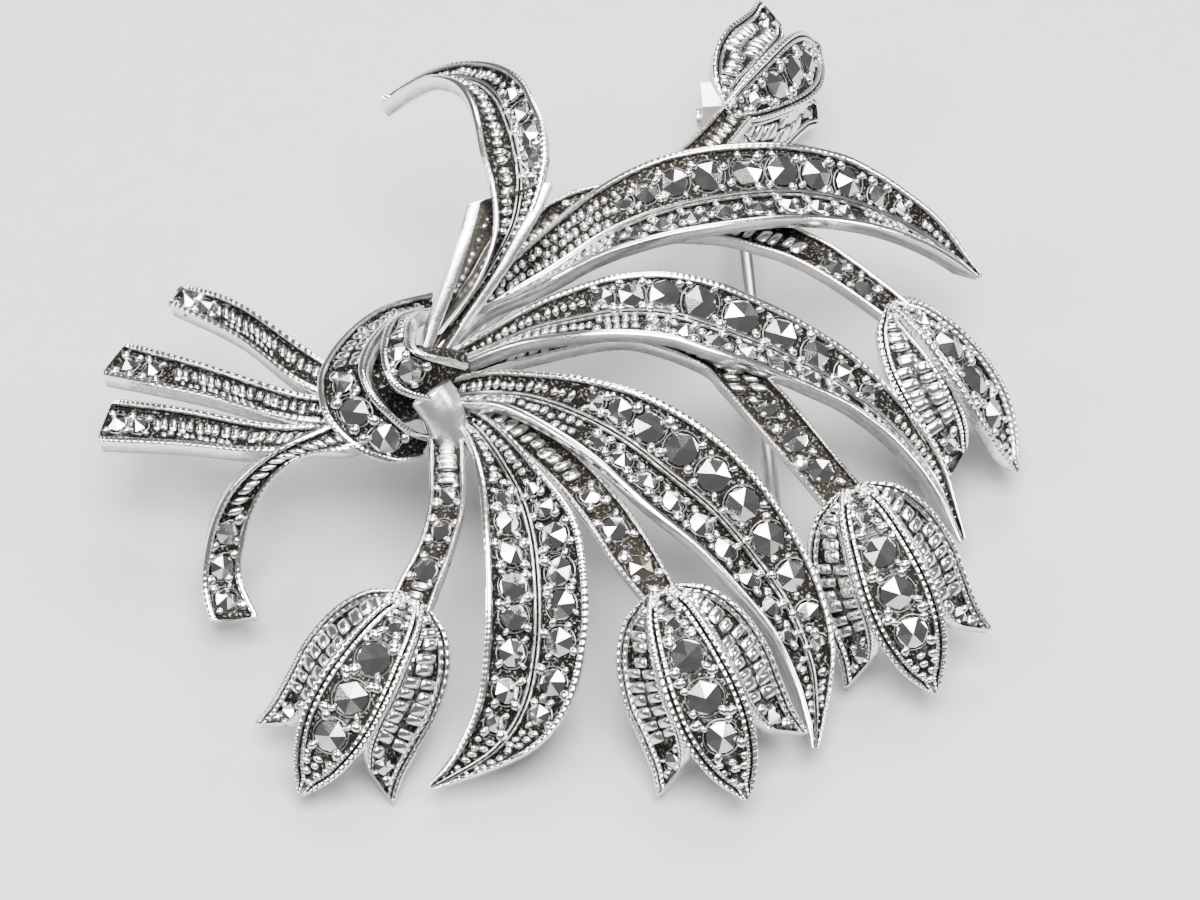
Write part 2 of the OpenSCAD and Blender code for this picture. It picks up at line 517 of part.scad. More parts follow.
module safety_lever() {
    color(silver) at_catch() difference() {
        union() {
            along_y(lever_r, catch_w + 2 * lever_over);
            intersection() {
                along_y(tab_r, tab_w);
                rotate([90, 0, 0]) linear_extrude(tab_w, center = true)
                    polygon([[0, 0], 2 * tab_r * [cos(lever_from), sin(lever_from)], [-2 * tab_r, 0],
                             2 * tab_r * [cos(lever_to), sin(lever_to)]]);
            }
        }
        along_y(lever_bore_r, catch_w + 2 * lever_over + cut_over);
        translate([-lever_slot / 2, -catch_w / 2 - cut_over, -lever_r - cut_over])
            cube([lever_slot, catch_w + 2 * cut_over, lever_r + cut_over]);
    }
}

translate(seat) knot_core();
translate(seat) leaf_curled();
translate(seat) leaf_sheath();
translate(seat) leaf_top();
translate(seat) leaf_middle();
translate(seat) leaf_lower();
translate(seat) leaf_front();
translate(seat) stem_back();
translate(seat) stem_right();
translate(seat) stem_lower_right();
translate(seat) stem_front();
translate(seat) stem_left();
translate(seat) tulip_back();
translate(seat) tulip_right();
translate(seat) tulip_lower_right();
translate(seat) tulip_front();
translate(seat) tulip_left();
translate(seat) cut_stem_upper();
translate(seat) cut_stem_middle();
translate(seat) cut_stem_lower();
translate(seat) ribbon_tail();
translate(seat) ribbon_band_lower();
translate(seat) ribbon_band_upper();
translate(seat) ribbon_fold();
translate(seat) stones_leaf_curled();
translate(seat) stones_leaf_top();
translate(seat) stones_leaf_middle();
translate(seat) stones_leaf_lower();
translate(seat) stones_leaf_front();
translate(seat) stones_stem_back();
translate(seat) stones_stem_right();
translate(seat) stones_stem_lower_right();
translate(seat) stones_stem_front();
translate(seat) stones_stem_left();
translate(seat) stones_tulip_back();
translate(seat) stones_tulip_right();
translate(seat) stones_tulip_lower_right();
translate(seat) stones_tulip_front();
translate(seat) stones_tulip_left();
translate(seat) stones_cut_upper();
translate(seat) stones_cut_middle();
translate(seat) stones_cut_lower();
translate(seat) stones_tail();
translate(seat) stones_band_lower();
translate(seat) stones_band_upper();
translate(seat) hinge_bracket();
translate(seat) hinge_rivet();
translate(seat) pin_stem();
translate(seat) catch_body();
translate(seat) safety_lever();
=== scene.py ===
import json
import math
import random

import bmesh
import bpy
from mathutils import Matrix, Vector, noise


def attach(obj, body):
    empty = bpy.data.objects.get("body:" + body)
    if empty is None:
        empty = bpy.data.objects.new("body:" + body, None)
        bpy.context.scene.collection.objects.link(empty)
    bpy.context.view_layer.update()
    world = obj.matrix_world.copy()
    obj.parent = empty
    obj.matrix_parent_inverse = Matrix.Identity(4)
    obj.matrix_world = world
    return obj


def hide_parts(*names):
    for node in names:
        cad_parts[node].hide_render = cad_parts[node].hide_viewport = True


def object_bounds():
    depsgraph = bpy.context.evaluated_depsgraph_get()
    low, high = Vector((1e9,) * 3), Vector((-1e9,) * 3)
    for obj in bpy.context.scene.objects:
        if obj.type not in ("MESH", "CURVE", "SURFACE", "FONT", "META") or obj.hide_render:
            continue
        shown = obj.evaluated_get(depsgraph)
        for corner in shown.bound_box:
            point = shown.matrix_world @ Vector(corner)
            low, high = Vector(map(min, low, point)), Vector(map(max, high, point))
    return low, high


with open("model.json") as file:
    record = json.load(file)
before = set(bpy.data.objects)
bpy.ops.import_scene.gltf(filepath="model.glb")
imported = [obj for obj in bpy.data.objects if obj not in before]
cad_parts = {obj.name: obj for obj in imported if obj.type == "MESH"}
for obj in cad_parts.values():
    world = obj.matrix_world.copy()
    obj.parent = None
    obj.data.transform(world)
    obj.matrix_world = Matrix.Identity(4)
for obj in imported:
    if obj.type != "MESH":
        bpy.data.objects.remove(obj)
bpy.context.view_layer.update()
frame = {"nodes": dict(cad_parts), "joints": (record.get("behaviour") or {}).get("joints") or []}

MM = 0.001


# ---- knot core ---------------------------------------------------------------------------
# The stems are gathered on a turned silver plug and soldered there; the ribbon hides most of it.
# It is black with tarnish, because nobody can reach it with a polishing cloth.

class Wire:
    """A number socket of a material, so that sums of them read as ordinary sums."""

    def __init__(self, tree, socket):
        self.tree = tree
        self.socket = socket

    def combine(self, operation, *terms):
        maths = self.tree.nodes.new("ShaderNodeMath")
        maths.operation = operation
        for place, term in enumerate(terms):
            connect(self.tree, maths.inputs[place], term)
        return Wire(self.tree, maths.outputs[0])

    def __add__(self, other):
        return self.combine("ADD", self, other)

    def __radd__(self, other):
        return self.combine("ADD", other, self)

    def __sub__(self, other):
        return self.combine("SUBTRACT", self, other)

    def __rsub__(self, other):
        return self.combine("SUBTRACT", other, self)

    def __mul__(self, other):
        return self.combine("MULTIPLY", self, other)

    def __rmul__(self, other):
        return self.combine("MULTIPLY", other, self)

    def clamped(self):
        return self.combine("MINIMUM", self.combine("MAXIMUM", self, 0.0), 1.0)

    def power(self, exponent):
        return self.combine("POWER", self, exponent)


def connect(tree, place, value):
    if isinstance(value, Wire):
        tree.links.new(value.socket, place)
    else:
        place.default_value = value


class Finish:
    """A metal being mixed: its material, the shader that ends it and the nodes that feed it."""

    def __init__(self, name):
        self.material = bpy.data.materials.new(name)
        self.material.use_nodes = True
        self.tree = self.material.node_tree
        self.shader = self.tree.nodes["Principled BSDF"]

    def node(self, kind, settings, values, output=0):
        made = self.tree.nodes.new(kind)
        for name, setting in settings.items():
            setattr(made, name, setting)
        for name, value in values.items():
            connect(self.tree, made.inputs[name], value)
        return Wire(self.tree, made.outputs[output])

    def millimetres(self):
        place = self.node("ShaderNodeTexCoord", {}, {}, "Object")
        return self.node("ShaderNodeVectorMath", {"operation": "SCALE"}, {0: place, "Scale": 1 / MM})

    def noise(self, where, per_mm, detail=3.0, roughness=0.55):
        values = {"Vector": where, "Scale": per_mm, "Detail": detail, "Roughness": roughness}
        return self.node("ShaderNodeTexNoise", {}, values, "Fac")

    def attribute(self, name):
        return self.node("ShaderNodeAttribute", {"attribute_name": name}, {}, "Fac")

    def mix(self, share, first, second):
        settings = {"data_type": "RGBA"}
        return self.node("ShaderNodeMix", settings, {0: share, 6: first, 7: second}, 2)

    def bump(self, height, depth, strength):
        values = {"Height": height, "Distance": depth, "Strength": strength}
        return self.node("ShaderNodeBump", {}, values)

    def feed(self, **values):
        for name, value in values.items():
            connect(self.tree, self.shader.inputs[name.replace("_", " ")], value)


def silver(name, bright, tarnish_and_shade, smooth, satin, hammer):
    """Cast silver: bright where a cloth reaches, black or brown in the hollows, finely pitted. In the seats
    round the stones that dark is partly painted shade.
    smooth and satin are the roughness of its bright and dark parts, hammer the depth of the pits."""
    metal = Finish(name)
    where = metal.millimetres()
    broad = metal.noise(where, 0.35)
    patchy = metal.noise(where, 2.2, 4.0)
    fine = metal.noise(where, 9.0, 4.0, 0.65)
    # The layer read here says how dark each corner is painted: tarnish in the hollows, and also painted shade
    # in the seats round the stones.
    deep = metal.attribute("patina_and_shade")
    flecks = metal.noise(where, 5.0, 2.0, 0.7)
    rubbed = ((flecks - 0.55) * 7).clamped() * deep
    smudges = (patchy - 0.5) * 0.7 * (deep + 0.3)
    specks = (fine - 0.5) * 0.3 * deep
    dark = (deep * 1.45 + smudges + specks - 0.12).clamped()
    dark = dark * (1 - rubbed * 0.55)
    brown = (tarnish_and_shade[0] * 1.5, tarnish_and_shade[1] * 1.3, tarnish_and_shade[2] * 1.05, 1)
    hollow = metal.mix((broad * 2.6 - 0.9).clamped(), tarnish_and_shade, brown)
    handled = tuple(0.86 * c for c in bright[:3]) + (1,)
    worn = metal.mix((patchy * 1.8 - 0.65).clamped(), bright, handled)
    rough = smooth + dark * (satin - smooth) + (fine - 0.5) * 0.14
    pits = metal.bump(fine * 0.5 + patchy * 1.2 + rubbed * 2.5, 0.02 * MM, hammer)
    colour = metal.mix(dark.power(0.65), worn, hollow)
    metal.feed(Metallic=1.0, Base_Color=colour, Roughness=rough.clamped(), Normal=pits)
    return metal.material


SILVER = (0.93, 0.925, 0.91, 1)
# Dark colour of the hollows: tarnish, and also painted shade in the seats round the stones.
TARNISH_AND_SHADE = (0.012, 0.0112, 0.0102, 1)
cast_silver = silver("cast_silver", SILVER, TARNISH_AND_SHADE, smooth=0.16, satin=0.6, hammer=0.5)

hinge_in_plan = Vector((11.1, 26.4, 3.2))   # where the design puts the hinge
hinge = Vector(frame["joints"][0]["pos_m"])
seat = hinge / MM - hinge_in_plan           # from the design's millimetres to the frame's


class Casting:
    """A mesh gathered piece by piece, in the design's millimetres, with one value at each corner."""

    def __init__(self, layer="patina_and_shade"):
        self.layer = layer
        self.corners = []
        self.faces = []
        self.values = []

    def add(self, corners, faces, values):
        first = len(self.corners)
        self.corners += corners
        self.values += values
        self.faces += [[first + corner for corner in face] for face in faces]

    def done(self, name, material, crease, nodes, body, slot):
        mesh = bpy.data.meshes.new(name)
        mesh.from_pydata([(corner + seat) * MM for corner in self.corners], [], self.faces)
        mesh.attributes.new(self.layer, "FLOAT", "POINT").data.foreach_set("value", self.values)
        mesh.shade_smooth()
        mesh.set_sharp_from_angle(angle=math.radians(crease))
        mesh.materials.append(material)
        piece = bpy.data.objects.new(name, mesh)
        bpy.context.collection.objects.link(piece)
        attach(piece, body)
        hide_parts(*nodes)


def ring_faces(rings, across):
    """Quads between rings of points, each ring with the same number of them."""
    faces = []
    for ring in range(rings - 1):
        for place in range(across):
            a, b = ring * across + place, ring * across + (place + 1) % across
            faces.append([a, a + across, b + across, b])
    return faces


def turned(casting, outline, origin, right, along, axis, around, patina_and_shade):
    """A turned shape. outline lists its (radius, height) points, and the last argument how dark each one is
    painted: tarnish, or in a stone's seat partly painted shade.
    """
    corners, values = [], []
    for (radius, height), shade in zip(outline, patina_and_shade):
        for step in range(around):
            angle = math.tau * step / around
            spoke = right * radius * math.cos(angle) + along * radius * math.sin(angle)
            corners.append(origin + spoke + axis * height)
            values.append(shade)
    faces = [face[::-1] for face in ring_faces(len(outline), around)]
    casting.add(corners, faces, values)


core_from, core_to = Vector((-15.5, -4.6, 8.6)), Vector((-6.4, -2.1, 9))
core_axis = (core_to - core_from).normalized()
core_right = core_axis.orthogonal().normalized()
core_length = (core_to - core_from).length
core_end_r, core_swell, core_shoulder, core_steps = 1.3, 1.1, 0.35, 60
groove_depth, groove_pitch = 0.06, 0.9
outline = []
for step in range(core_steps + 1):
    height = step / core_steps
    bulge = core_end_r + core_swell * min(1, min(height, 1 - height) / core_shoulder)
    groove = groove_depth * max(0, math.cos(height * core_length * math.tau / groove_pitch))
    outline.append((bulge - groove, height * core_length))
outline = [(0.01, 0)] + outline + [(0.01, core_length)]
blackened = [0.95] * len(outline)
core_around = 64
core = Casting()
turned(core, outline, core_from, core_right, core_axis.cross(core_right), core_axis, core_around,
       blackened)
core.done("knot_core", cast_silver, 40, ["knot_core"], "spray", "aged_silver")


# ---- leaves ------------------------------------------------------------------------------
# Five long leaves, each cast as an open trough between two polished rims, with a double ridge
# down the middle. Stones sit in a row on each side of it, held by grains of metal pushed up
# from the floor, and small cut beads carry the rows on toward both ends.

rim_w, rim_lip, wall = 0.45, 0.45, 0.55
rib_w, rib_h = 0.22, 0.3
stone_min_d, stone_max_d, stone_gap, small_gap = 1.0, 2.1, 0.45, 0.7
stone_clear = 0.05           # least room left beside a stone
end_stones = 0.42            # how much smaller the stones are at the ends of a row
nudge = 0.02                 # step along an edge that gives its direction
mill_pitch = 0.42            # from one milled bead of a rim to the next
filed_waver = 0.035          # how far a rim's height wanders along it
corner_round = 0.18          # share of the width taken off where a shut end rounds off
shut_least = 0.02            # share of its depth that a floor keeps at a shut end
crease, facet_crease = 38, 2


def curve(points, t):
    """Smooth curve through the points, with t from 0 at the first to 1 at the last."""
    last = len(points) - 1
    s = max(0, min(t, 1)) * last
    i = min(int(s), last - 1)
    f = s - i
    a, b, c, d = points[max(i - 1, 0)], points[i], points[i + 1], points[min(i + 2, last)]
    bend, twist = 2 * a - 5 * b + 4 * c - d, 3 * b - a - 3 * c + d
    return 0.5 * (2 * b + (c - a) * f + bend * f * f + twist * f ** 3)


def station(right, left, t):
    """Right edge point, directions across, along and up, and the width, at t."""
    p, q = curve(right, t), curve(left, t)
    width = (q - p).length
    across = (q - p) / width
    ahead = curve(right, t + nudge) + curve(left, t + nudge)
    go = (ahead - curve(right, t - nudge) - curve(left, t - nudge)).normalized()
    return p, across, go, go.cross(across).normalized(), width


def fade(width):
    return min(1, width / (4 * rim_w))


def points(*rows):
    return [Vector(row) for row in rows]


def leaf_section(width, dip, skirt, rim, open_, right_grain, left_grain, under):
    """Half of it is written once and mirrored: skirt, rim, wall, floor and the double ridge. Each
    point is its place across, its height and how tarnished it is."""
    k, m = fade(width), width / 2
    r, low, b = rim * k, rim_lip * k * open_, rib_w * k
    d = low + dip * width * open_
    half = [(0.08 * k, -skirt * k, under), (0, -(skirt - 0.1) * k, 0.45), (0, -0.62 * k, 0.22),
            (0, -0.16 * k, 0.0), (0.05 * k, -0.05 * k, 0), (0.16 * k, 0, 0),
            (r - 0.14 * k, 0, 0), (r - 0.03 * k, -0.05 * k, 0.08), (r, -0.14 * k * open_, 0.45),
            (r + 0.01, -low * 0.92, 1), (r + 0.06 * k, -low, 0.95)]
    steep = (d - low) / max(m - b - r, 0.01)
    for share in (0.3, 0.65):
        x = r + (m - b - r) * share
        half.append((x, -low - (x - r) * steep, 0.88))
    half += [(m - b * 1.45, -d + 0.02 * k, 1), (m - b * 1.15, -d + rib_h * k * 0.75, 0.25),
             (m - b * 0.8, -d + rib_h * k, 0.02), (m - b * 0.45, -d + rib_h * k * 0.8, 0.25)]
    right = [(x, z + right_grain * (0.02 < x < r), shade) for x, z, shade in half]
    left = [(width - x, z + left_grain * (0.02 < x < r), shade) for x, z, shade in half]
    keel = [(m, -d - wall * k, under)]
    return keel + right + [(m, -d + rib_h * k * 0.2, 1)] + left[::-1]


def channel_section(width, dip, skirt, rim, open_, right_grain, left_grain, under):
    """A flat floor between two rims, as (across, height, tarnish)."""
    k = fade(width)
    r, low = rim * k, rim_lip * k * open_
    half = [(0.08 * k, -skirt * k, under), (0, -(skirt - 0.1) * k, 0.45), (0, -0.62 * k, 0.22),
            (0, -0.16 * k, 0.0), (0.05 * k, -0.05 * k, 0), (0.16 * k, 0, 0),
            (r - 0.14 * k, 0, 0), (r - 0.03 * k, -0.05 * k, 0.08), (r, -0.14 * k * open_, 0.45),
            (r + 0.01, -low * 0.92, 1), (r + 0.06 * k, -low, 0.95), (width * 0.4, -low, 0.9)]
    right = [(x, z + right_grain * (0.02 < x < r), shade) for x, z, shade in half]
    left = [(width - x, z + left_grain * (0.02 < x < r), shade) for x, z, shade in half]
    return right + left[::-1]


def strip(casting, right, left, section, dip, skirt, rim=rim_w, grained=(0, 0), shut=(0, 0),
          under=0.3, step=0.1):
    """Sweeps a section between two edges. grained is how deep each rim's milled beads are cut;
    shut is how far in from each end the floor comes up to the rim and the corners round off."""
    samples = 40
    length = sum((curve(right, i / samples) - curve(right, (i + 1) / samples)).length
                 for i in range(samples))
    rings = round(length / step)
    corners, values = [], []
    for ring in range(rings + 1):
        t = ring / rings
        p, across, go, up, width = station(right, left, t)
        along = t * length
        open_ = 1.0
        squeeze = 1.0
        for reach, end in ((shut[0], along), (shut[1], length - along)):
            if end < reach:
                open_ = max(end / reach, shut_least)
                squeeze = 1 - corner_round * (1 - math.sqrt(1 - (1 - end / reach) ** 2))
        mill = 0.5 * math.cos(along * math.tau / mill_pitch) - 0.5
        waver = [filed_waver * noise.noise(Vector((along * 0.5, right[1].x, side))) for side in (0.3, 7.3)]
        right_grain, left_grain = mill * grained[0] + waver[0], mill * grained[1] + waver[1]
        shape = section(width, dip, skirt, rim, open_, right_grain, left_grain, under)
        for x, z, shade in shape:
            corners.append(p + across * (width / 2 + (x - width / 2) * squeeze) + up * z)
            values.append(shade)
    count = len(shape)
    faces = ring_faces(rings + 1, count)
    faces += [list(range(count)), [rings * count + i for i in reversed(range(count))]]
    casting.add(corners, faces, values)


def floor_frame(right, left, dip, side, t):
    """Where a stone or bead sits at t, and its directions. side is -1 for the row along the right
    edge, 1 for the left edge and 0 for the middle of a channel."""
    p, across, go, up, width = station(right, left, t)
    k = fade(width)
    if side == 0:
        return p + across * width / 2 - up * rim_lip * k, across, go, up, width
    low = rim_lip * k + dip * width
    half_floor = (rim_w * k + width / 2 - rib_w * k) / 2
    x = half_floor if side < 0 else width - half_floor
    lean = math.atan(dip * width / (width / 2 - rim_w * k - rib_w * k)) * side
    tilted = across * math.cos(lean) + up * math.sin(lean)
    upright = up * math.cos(lean) - across * math.sin(lean)
    origin = p + across * x - up * (rim_lip * k + low) / 2
    return origin, tilted, tilted.cross(upright), upright, width


def row_line(right, left, side, t):
    share = 0.5 + side / 4
    return curve(right, t) * (1 - share) + curve(left, t) * share


def row_speed(right, left, side, t):
    """Millimetres along a row for each unit of t."""
    ahead, behind = row_line(right, left, side, t + nudge), row_line(right, left, side, t - nudge)
    return (ahead - behind).length / (2 * nudge)


def stone_row(right, left, side, t_start, t_end, reach=1, gap=stone_gap):
    """The places and widths of a leaf row's stones, smaller at both ends of the row."""
    places = []
    t = t_start
    while t <= t_end:
        room = station(right, left, t)[4] / 2 - rim_w - rib_w - stone_clear
        u = (t - t_start) / (t_end - t_start)
        d = min(stone_max_d, room) * reach * (1 - end_stones * abs(2 * u - 1) ** 3)
        if d >= stone_min_d:
            places.append((t, d))
        t += (max(d, stone_min_d) + gap) / row_speed(right, left, side, t)
    return places


def dome(casting, origin, right, along, up, size, height, square=1.0):
    """A bead or grain of metal. Below 1, square gives it flat sides."""
    around = 10
    # radius, height and tarnish of each ring, from the foot up
    levels = ((1.0, -0.3, 1.0), (0.97, 0.35, 0.35), (0.72, 0.78, 0.0), (0.3, 0.97, 0.0))
    corners, values = [], []
    for radius, level, shade in levels:
        for step in range(around):
            angle = math.tau * (step + 0.5) / around
            c, s = math.cos(angle), math.sin(angle)
            c, s = math.copysign(abs(c) ** square, c), math.copysign(abs(s) ** square, s)
            spoke = right * c * radius * size[0] + along * s * radius * size[1]
            corners.append(origin + spoke + up * level * height)
            values.append(shade)
    corners.append(origin + up * height)
    values.append(0.0)
    top = len(corners) - 1
    faces = [face[::-1] for face in ring_faces(len(levels), around)]
    last = (len(levels) - 1) * around
    faces += [[last + i, last + (i + 1) % around, top] for i in range(around)]
    casting.add(corners, faces, values)


bead_gap, bead_spare, bead_least_r, bead_top_h = 0.04, 0.03, 0.1, 0.3
bead_aside, bead_ahead = 0.07, 0.09         # how far beads stray from their places


def bead_row(casting, right, left, dip, side, dice, t_start, t_end, pitch, size, square=1.0, shift=0.0):
    """Cut beads along a floor, as big as it allows up to size, in as many columns as fit."""
    t = t_start
    while t <= t_end:
        origin, across, along, up, width = floor_frame(right, left, dip, side, t)
        k = fade(width)
        room = (width / 2 - rim_w * k) if side == 0 else (width / 2 - rim_w * k - rib_w * k) / 2
        columns = max(1, int((room + 2 * bead_spare) / (size + bead_gap))) if shift == 0 else 1
        for column in range(columns):
            r = min(size, max(room / columns - bead_spare, bead_least_r)) * dice.uniform(0.78, 1.12)
            column_at = room * ((2 * column + 1) / columns - 1)
            aside = shift + column_at + dice.uniform(-bead_aside, bead_aside)
            spot = origin + across * aside + along * dice.uniform(-bead_ahead, bead_ahead)
            height = min(r, bead_top_h) * dice.uniform(0.6, 1.25)
            length = min(r, pitch * 0.46) * dice.uniform(0.8, 1.12)
            dome(casting, spot, across, along, up, (r, length), height, square)
        t += pitch / max(row_speed(right, left, side, t), 1e-3)


facets, stone_tilt, stone_fit = 6, 0.08, 0.97
crown_h, crown_spread, peak_stray = 0.5, 0.06, 0.05
girdle_low, girdle_high, girdle_foot = 0.07, 0.15, 0.2


def rose_cut(stones, origin, across, along, up, d, dice, brassy):
    """A rose-cut stone: six facets rising to a point over a narrow girdle."""
    turn, r, round_it = dice.uniform(0, math.tau), d / 2 * stone_fit, 2 * facets
    lean = (across * dice.gauss(0, stone_tilt) + along * dice.gauss(0, stone_tilt) + up).normalized()
    across = (across - lean * across.dot(lean)).normalized()
    along = lean.cross(across)
    crown = crown_h + crown_spread * dice.random()
    peak = origin + lean * crown + across * dice.gauss(0, peak_stray) + along * dice.gauss(0, peak_stray)
    spokes = []
    for place in range(round_it):
        angle = turn + math.tau * place / round_it
        spokes.append(across * math.cos(angle) + along * math.sin(angle))
    corners = [peak]
    for place, spoke in enumerate(spokes):
        corners.append(origin + spoke * r + lean * (girdle_low if place % 2 else girdle_high))
    corners += [origin + spoke * r - lean * girdle_foot for spoke in spokes]
    faces = []
    for place in range(0, round_it, 2):
        here, between, after = 1 + place, 2 + place, 1 + (place + 2) % round_it
        faces += [[0, here, after], [here, between, after]]
    for place in range(round_it):
        here, after = 1 + place, 1 + (place + 1) % round_it
        faces.append([here, here + round_it, after + round_it, after])
    stones.add(corners, faces, [float(dice.random() < brassy)] * len(corners))


ring_around = 28
# How dark each ring of a stone's seat is painted, from the outside in: partly oxide, and partly painted shade
# on the ring and in the gap next to the stone.
seat_oxide_and_shade = (1.0, 0.75, 0.42, 0.8, 1.0, 1.0)


def set_stone(casting, stones, origin, across, along, up, d, dice, brassy):
    """Sets one stone: a seat and a thin cut ring round it, painted dark partly as oxide and partly as painted
    shade in the gap round the stone, and the stone itself.
    """
    r = d / 2
    outline = [(r + 0.2, -0.16), (r + 0.16, 0.02), (r + 0.1, 0.05),
               (r + 0.06, 0.02), (r + 0.04, -0.1), (r + 0.02, -0.3)]
    turned(casting, outline, origin, across, along, up, ring_around, seat_oxide_and_shade)
    rose_cut(stones, origin, across, along, up, d, dice, brassy)


stone_grains, grain_stray = 4, 0.16


def set_row(casting, stones, right, left, dip, side, places, dice, brassy=0.01):
    """Sets a row's stones, each held by four grains of metal pushed over its corners. brassy is
    the share of them that is yellower than the rest."""
    for t, d in places:
        origin, across, along, up, width = floor_frame(right, left, dip, side, t)
        set_stone(casting, stones, origin, across, along, up, d, dice, brassy)
        for grain in range(stone_grains):
            angle = math.tau * (grain + 0.5 + dice.uniform(-grain_stray, grain_stray)) / stone_grains
            spoke = across * math.cos(angle) + along * math.sin(angle)
            size = dice.uniform(0.26, 0.4)
            spot = origin + spoke * (d / 2 + size * 0.7)
            shape = size, size * dice.uniform(0.6, 1.1)
            dome(casting, spot, spoke, spoke.cross(up), up, shape, dice.uniform(0.24, 0.34), 0.8)


marcasite = Finish("marcasite")
tint = marcasite.attribute("tint")
stone_mm = marcasite.millimetres()
clouds = marcasite.noise(stone_mm, 1.6, 3.0)
steel_grey = marcasite.mix(clouds, (0.46, 0.46, 0.455, 1), (0.68, 0.68, 0.67, 1))
brass_tint = (0.62, 0.55, 0.4, 1)
stone_colour = marcasite.mix(tint * 0.85, steel_grey, brass_tint)
stone_wear = marcasite.noise(stone_mm, 14.0, 4.0)
marcasite.feed(Metallic=1.0, Base_Color=stone_colour, Roughness=0.05 + stone_wear * 0.12,
               Normal=marcasite.bump(stone_wear, 0.004 * MM, 0.4))

curled = (
    points((-6.6, 0.2, 10.8), (-4.4, 2.7, 12.8), (-2.4, 5.4, 15), (-1.5, 8.3, 16.8), (-1.6, 10.8, 17.8),
           (-2.2, 12.9, 18), (-3, 15.1, 17.8), (-4.6, 17.2, 17.2), (-7.1, 19.2, 15.6), (-9.5, 20.6, 13.4),
           (-11.8, 20.9, 11.3)),
    points((-8.3, -0.8, 10.8), (-6, 1.7, 12.7), (-4.9, 4.3, 14.5), (-5.1, 7.1, 15.7), (-5.8, 9.8, 16.6),
           (-6.2, 11.9, 17.2), (-6.7, 13.9, 17.2), (-7.6, 15.8, 16.8), (-9.3, 17.8, 15.4),
           (-11.1, 18.8, 13.4), (-12.9, 19.3, 11.2)))
top = (
    points((-9, -1.5, 9.4), (-6.2, 1.3, 10.4), (-2.3, 2.1, 12), (1.7, 3.8, 13.1), (5.6, 5, 13.6),
           (9.5, 6, 13.6), (14, 7.2, 13), (18, 8.2, 11.6), (21.4, 8.9, 9.8), (24.5, 9.2, 7.6), (27, 9, 5.4)),
    points((-8, 0.4, 9.4), (-4.7, 5.2, 10), (-1.8, 8, 11.2), (1.8, 10.4, 12.8), (5.5, 12, 13.8),
           (9.5, 12.8, 14.2), (14, 13.5, 13.7), (18, 13.9, 12.2), (21.5, 13.5, 10), (24.7, 12.3, 7.6),
           (27.3, 9.5, 5.3)))
middle = (
    points((-10, -3.5, 9.2), (-6.1, -2.5, 10.4), (-3.2, -2.4, 11.7), (0, -2.6, 12.6), (3, -2.7, 13),
           (6.2, -2.9, 12.8), (9, -3.5, 12.2), (12, -3.9, 11.2), (15, -4.3, 9.8), (18, -4.8, 8.2),
           (21, -6.2, 6.2), (23.2, -8.2, 4.2), (24.7, -10.9, 2.4)),
    points((-9.4, -1.9, 9.2), (-5.5, -0.2, 10.6), (-2.6, 0.6, 12.2), (0.5, 1.4, 13.2), (3.1, 1.8, 13.8),
           (6.2, 2, 13.8), (9.3, 1.8, 13.1), (12.4, 1.2, 11.9), (15.6, 0.4, 10.3), (18.8, -0.9, 8.4),
           (21.8, -3, 6.2), (24, -5.8, 4.2), (25.1, -10.5, 2.5)))
lower = (
    points((-10.5, -5, 9), (-7.2, -6, 10.2), (-4.4, -7, 11.1), (-1.3, -9.3, 11.5), (1.8, -11.8, 11.2),
           (4.8, -14.4, 10.2), (7.9, -16.4, 8.7), (10.3, -18.3, 7), (12.5, -20.3, 5), (13.8, -22.6, 3.3),
           (14.4, -24.4, 2.3), (14.8, -26, 1.5)),
    points((-9.9, -3.8, 9.2), (-5.4, -3.5, 10.6), (-2, -4.8, 12), (1.5, -6, 12.7), (5, -7.1, 12.4),
           (8.2, -8.6, 11.4), (11, -10.6, 10), (13.3, -13, 8.2), (15.2, -16, 6.2), (16.3, -19.5, 4.2),
           (16.1, -22.6, 2.7), (15.2, -26, 1.5)))
front = (
    points((-9, -4.6, 9), (-6.9, -7.5, 9.9), (-5.7, -11.4, 10.2), (-5.2, -15.7, 9.4), (-5, -19.7, 7.7),
           (-5.1, -22.1, 6), (-5.5, -24.4, 4.2), (-6.6, -26.5, 2.6), (-8.4, -28.6, 1.3)),
    points((-7.6, -4, 9), (-4.4, -7.4, 10.1), (-1.6, -11.9, 10.8), (0.5, -15, 10), (1.2, -18.8, 8.4),
           (1.1, -22, 6.4), (0, -25.2, 4.3), (-2.5, -27.3, 2.7), (-8.1, -28.9, 1.2)))

leaf_dip, curled_dip, leaf_skirt = 0.16, 0.14, 1.05
# name, edges, dip, rows of stones as (side, from, to, reach, gap), bead rows, milled rims, underside
leaves = (
    ("curled", curled, curled_dip, ((-1, 0.25, 0.66, 1.12, stone_gap),), ((1, 0.2, 0.9),), (0.02, 0), 0.1),
    ("top", top, leaf_dip, ((1, 0.34, 0.85, 1, stone_gap), (-1, 0.32, 0.74, 0.72, small_gap)),
     (), (0, 0.015), 0.3),
    ("middle", middle, leaf_dip, ((1, 0.26, 0.86, 1.2, stone_gap), (-1, 0.36, 0.84, 0.8, small_gap)),
     (), (0, 0.02), 0.3),
    ("lower", lower, leaf_dip, ((1, 0.26, 0.88, 1.05, stone_gap), (-1, 0.3, 0.8, 0.75, small_gap)),
     (), (0, 0.05), 0.3),
    ("front", front, leaf_dip, ((1, 0.24, 0.86, 0.9, 0.5), (-1, 0.26, 0.86, 0.85, 0.5)),
     (), (0.01, 0.07), 0.3),
)
